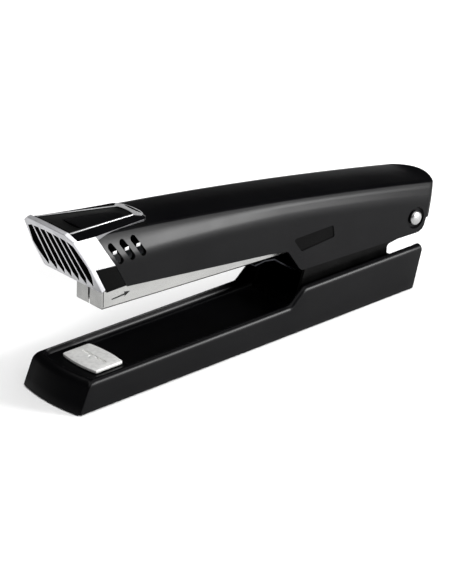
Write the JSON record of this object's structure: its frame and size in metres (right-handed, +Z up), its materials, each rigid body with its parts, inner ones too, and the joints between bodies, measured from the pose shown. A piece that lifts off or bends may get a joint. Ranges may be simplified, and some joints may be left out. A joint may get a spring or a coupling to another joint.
{
  "type": "stapler",
  "caption": "Full-strip desk stapler, standing open: black lower base and arched handle, bright magazine, ribbed silver nose with a dished thumb pad.",
  "frame": {"origin": "centre of the footprint, on the table under the rubber feet", "axes": "+Y runs from the nose to the hinge, +X is the right side seen from behind the hinge, +Z is up"},
  "size_m": [0.0334, 0.1864, 0.0691],
  "materials": {
    "satin_black": "satin moulded ABS",
    "gloss_black": "polished moulded ABS",
    "black_steel": "black-coated pressed steel",
    "rubber": "moulded non-slip rubber",
    "grip": "soft satin plastic pad",
    "nickel": "bright nickel-plated steel",
    "zinc": "zinc-plated pressed steel",
    "spring_steel": "plain spring steel",
    "satin_silver": "satin silver plated plastic",
    "chrome": "bright chrome trim",
    "nylon": "natural moulded nylon"
  },
  "bodies": {
    "base": {"base_shell": "satin_black", "base_bottom_plate": "zinc", "bottom_screw_1": "zinc", "bottom_screw_2": "zinc", "bottom_screw_3": "zinc", "bottom_screw_4": "zinc", "foot_pad_front": "rubber", "foot_pad_rear": "rubber", "hinge_bracket": "black_steel", "bracket_rivet_1": "black_steel", "bracket_rivet_2": "black_steel", "bracket_rivet_3": "black_steel", "bracket_rivet_4": "black_steel", "lift_spring": "spring_steel", "anvil_spring": "spring_steel", "pivot_pin": "nickel", "pivot_cap": "nickel", "pivot_bush_left": "nylon", "pivot_bush_right": "nylon"},
    "anvil": {"anvil_plate": "nickel", "anvil_stud": "nickel", "anvil_retainer": "spring_steel"},
    "magazine": {"magazine_channel": "nickel", "staple_rail": "zinc", "staple_strip": "zinc", "pusher_rod": "spring_steel", "magazine_end_block": "nylon", "pivot_spacer": "nylon", "pusher_spring": "spring_steel"},
    "pusher": {"staple_pusher": "black_steel"},
    "handle": {"handle_shell": "satin_black", "handle_frame": "zinc", "frame_screw_1": "zinc", "frame_screw_2": "zinc", "nose_bracket": "zinc", "driver_blade": "spring_steel", "blade_rivet_1": "zinc", "blade_rivet_2": "zinc", "return_spring": "spring_steel", "nose_cap": "gloss_black", "thumb_pad": "grip", "pad_bezel": "chrome", "nose_grille": "satin_silver"}
  },
  "joints": [
    {"name": "magazine_hinge", "type": "hinge", "parent": "base", "child": "magazine", "pos_m": [0, 0.0768, 0.0288], "axis": [1, 0, 0], "range_deg": [-25, 8], "stiffness_Nm_per_rad": 2, "springref_deg": -3.44, "deforming": ["lift_spring"]},
    {"name": "handle_hinge", "type": "hinge", "parent": "magazine", "child": "handle", "pos_m": [0, 0.0768, 0.0288], "axis": [1, 0, 0], "range_deg": [-40, 2.6], "stiffness_Nm_per_rad": 2, "springref_deg": -2.29, "deforming": ["return_spring"]},
    {"name": "pusher_slide", "type": "slide", "parent": "magazine", "child": "pusher", "axis": [0, 0.999, -0.0445], "range_m": [0, 0.054], "stiffness_N_per_m": 60, "springref_m": -0.05, "deforming": ["pusher_spring"]},
    {"name": "anvil_turn", "type": "hinge", "parent": "base", "child": "anvil", "pos_m": [0, -0.0726, 0.0116], "axis": [0, 0, 1], "range_deg": [0, 180]}
  ]
}
